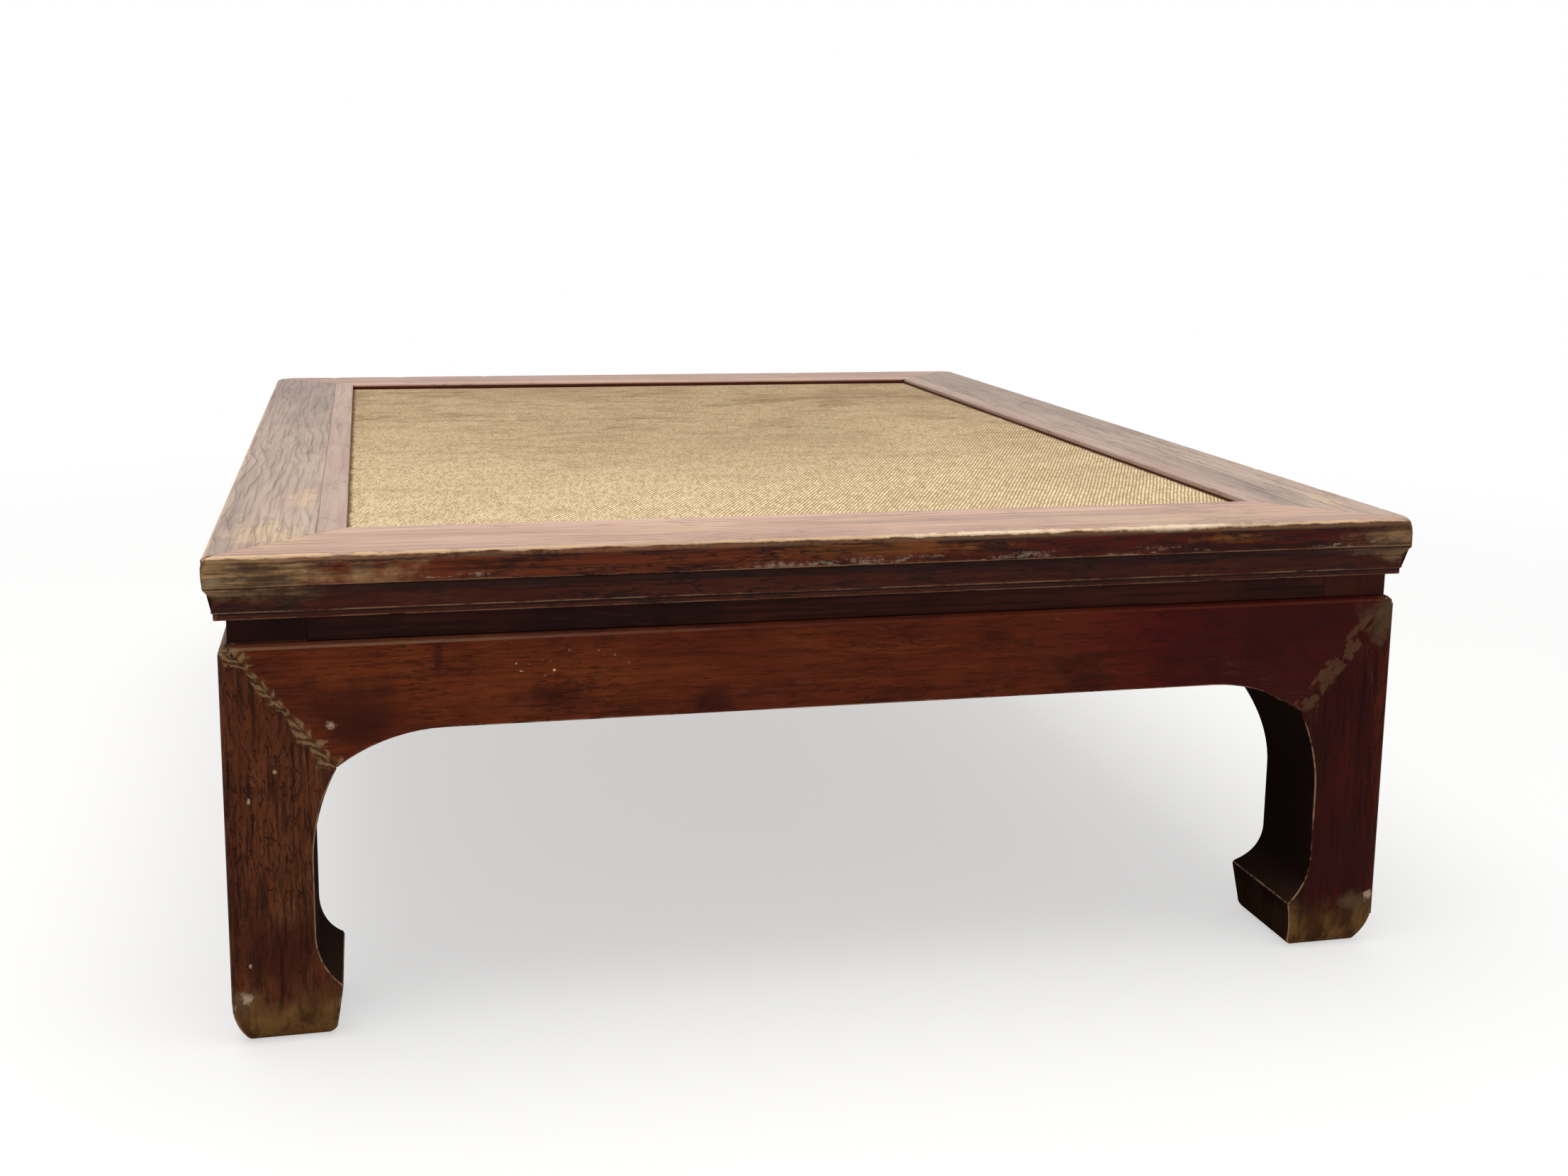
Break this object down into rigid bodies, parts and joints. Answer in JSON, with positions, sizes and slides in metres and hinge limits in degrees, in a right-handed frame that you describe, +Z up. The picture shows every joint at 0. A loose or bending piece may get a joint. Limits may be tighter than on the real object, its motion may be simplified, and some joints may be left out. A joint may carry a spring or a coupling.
{
  "type": "low waisted table",
  "caption": "Low rectangular table with a mitred frame top, inset woven cane mat, set-back waist, curved aprons and square legs ending in inward hoof feet.",
  "frame": {"origin": "on the floor under the middle of the top", "axes": "+X across the short ends to the right, +Y along the long sides to the back, +Z up"},
  "size_m": [0.86, 1.09, 0.336],
  "materials": {
    "top_frame": "bleached and worn elm on top, dark red-brown lacquer on the moulded edge",
    "batten": "bleached elm, worn smooth",
    "cane": "woven split cane, dry and stained",
    "lacquered_elm": "dark red-brown lacquer over elm, rubbed through at the edges",
    "bare_wood": "unfinished softwood"
  },
  "bodies": {
    "root": {"apron_back": "lacquered_elm", "apron_front": "lacquered_elm", "apron_left": "lacquered_elm", "apron_right": "lacquered_elm", "corner_pegs": "bare_wood", "cross_brace_1": "bare_wood", "cross_brace_2": "bare_wood", "cross_brace_3": "bare_wood", "end_rail_back": "top_frame", "end_rail_front": "top_frame", "leg_back_left": "lacquered_elm", "leg_back_right": "lacquered_elm", "leg_front_left": "lacquered_elm", "leg_front_right": "lacquered_elm", "mat_batten_back": "batten", "mat_batten_front": "batten", "mat_batten_left": "batten", "mat_batten_right": "batten", "panel_board_1": "bare_wood", "panel_board_2": "bare_wood", "panel_board_3": "bare_wood", "panel_board_4": "bare_wood", "panel_board_5": "bare_wood", "side_stile_left": "top_frame", "side_stile_right": "top_frame", "waist_back": "lacquered_elm", "waist_front": "lacquered_elm", "waist_left": "lacquered_elm", "waist_right": "lacquered_elm", "woven_mat": "cane"}
  },
  "joints": []
}
